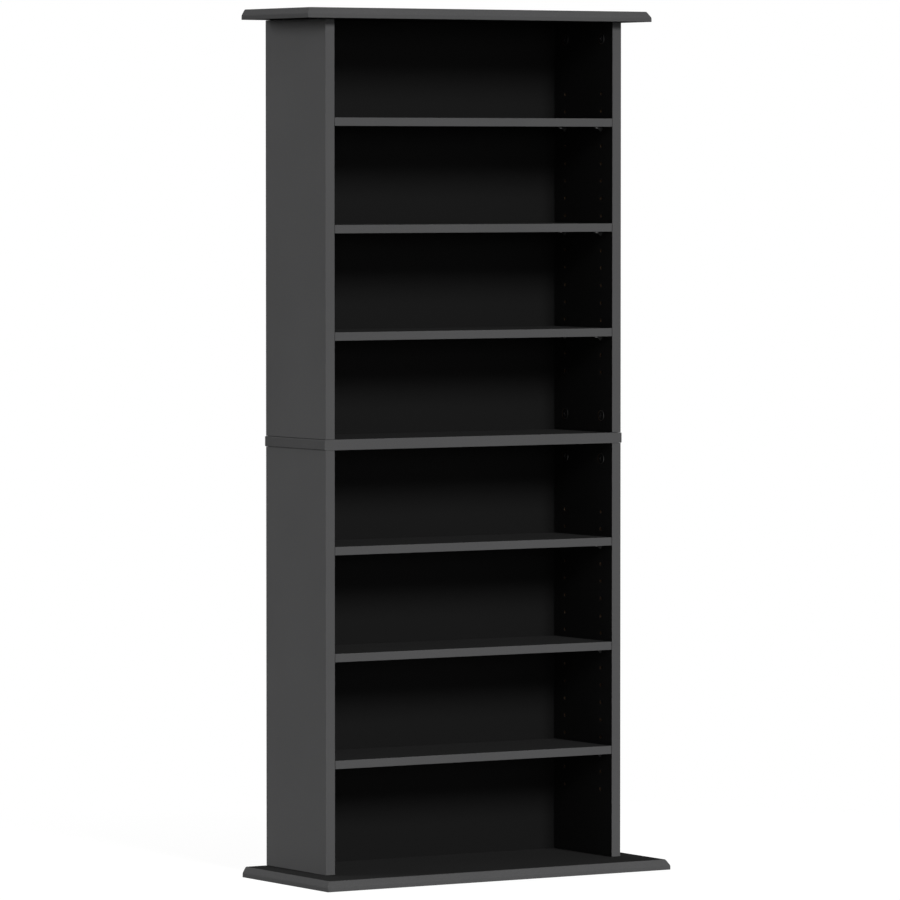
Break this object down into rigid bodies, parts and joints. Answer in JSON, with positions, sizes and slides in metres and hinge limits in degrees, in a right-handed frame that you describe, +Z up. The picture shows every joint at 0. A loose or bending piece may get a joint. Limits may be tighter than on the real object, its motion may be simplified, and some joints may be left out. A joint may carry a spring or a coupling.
{
  "type": "cd dvd storage tower",
  "caption": "Tall free-standing board tower with loose shelves on pins for disc cases, a fixed middle board and bevel-edged top and base boards.",
  "frame": {"origin": "on the floor, under the middle of the base board", "axes": "+Z up, the open front faces -Y, +X to the right seen from the front"},
  "size_m": [0.582, 0.2396, 1.249],
  "materials": {
    "board": "dark grey satin foil on particle board",
    "back": "black painted hardboard",
    "pin": "black nickel plated",
    "cam": "cast zinc, darkened",
    "steel": "zinc plated"
  },
  "bodies": {
    "carcass": {"base_board": "board", "base_screw_front_left": "steel", "base_screw_front_right": "steel", "base_screw_rear_left": "steel", "base_screw_rear_right": "steel", "lower_back_panel": "back", "lower_left_side": "board", "lower_right_side": "board", "lower_shelf_1_pin_front_left": "pin", "lower_shelf_1_pin_front_right": "pin", "lower_shelf_1_pin_rear_left": "pin", "lower_shelf_1_pin_rear_right": "pin", "lower_shelf_2_pin_front_left": "pin", "lower_shelf_2_pin_front_right": "pin", "lower_shelf_2_pin_rear_left": "pin", "lower_shelf_2_pin_rear_right": "pin", "lower_shelf_3_pin_front_left": "pin", "lower_shelf_3_pin_front_right": "pin", "lower_shelf_3_pin_rear_left": "pin", "lower_shelf_3_pin_rear_right": "pin", "middle_board": "board", "middle_bolt_front_left": "steel", "middle_bolt_front_right": "steel", "middle_bolt_rear_left": "steel", "middle_bolt_rear_right": "steel", "middle_cam_above_front_left": "cam", "middle_cam_above_front_right": "cam", "middle_cam_above_rear_left": "cam", "middle_cam_above_rear_right": "cam", "middle_cam_below_front_left": "cam", "middle_cam_below_front_right": "cam", "middle_cam_below_rear_left": "cam", "middle_cam_below_rear_right": "cam", "top_board": "board", "top_cam_front_left": "cam", "top_cam_front_right": "cam", "top_cam_rear_left": "cam", "top_cam_rear_right": "cam", "upper_back_panel": "back", "upper_left_side": "board", "upper_right_side": "board", "upper_shelf_1_pin_front_left": "pin", "upper_shelf_1_pin_front_right": "pin", "upper_shelf_1_pin_rear_left": "pin", "upper_shelf_1_pin_rear_right": "pin", "upper_shelf_2_pin_front_left": "pin", "upper_shelf_2_pin_front_right": "pin", "upper_shelf_2_pin_rear_left": "pin", "upper_shelf_2_pin_rear_right": "pin", "upper_shelf_3_pin_front_left": "pin", "upper_shelf_3_pin_front_right": "pin", "upper_shelf_3_pin_rear_left": "pin", "upper_shelf_3_pin_rear_right": "pin"},
    "lower_shelf_1": {"lower_shelf_1": "board"},
    "lower_shelf_2": {"lower_shelf_2": "board"},
    "lower_shelf_3": {"lower_shelf_3": "board"},
    "upper_shelf_1": {"upper_shelf_1": "board"},
    "upper_shelf_2": {"upper_shelf_2": "board"},
    "upper_shelf_3": {"upper_shelf_3": "board"}
  },
  "joints": [
    {"name": "lower_shelf_1_slide", "type": "slide", "parent": "carcass", "child": "lower_shelf_1", "axis": [0, -1, 0], "range_m": [0, 0.11]},
    {"name": "lower_shelf_2_slide", "type": "slide", "parent": "carcass", "child": "lower_shelf_2", "axis": [0, -1, 0], "range_m": [0, 0.11]},
    {"name": "lower_shelf_3_slide", "type": "slide", "parent": "carcass", "child": "lower_shelf_3", "axis": [0, -1, 0], "range_m": [0, 0.11]},
    {"name": "upper_shelf_1_slide", "type": "slide", "parent": "carcass", "child": "upper_shelf_1", "axis": [0, -1, 0], "range_m": [0, 0.11]},
    {"name": "upper_shelf_2_slide", "type": "slide", "parent": "carcass", "child": "upper_shelf_2", "axis": [0, -1, 0], "range_m": [0, 0.11]},
    {"name": "upper_shelf_3_slide", "type": "slide", "parent": "carcass", "child": "upper_shelf_3", "axis": [0, -1, 0], "range_m": [0, 0.11]}
  ]
}
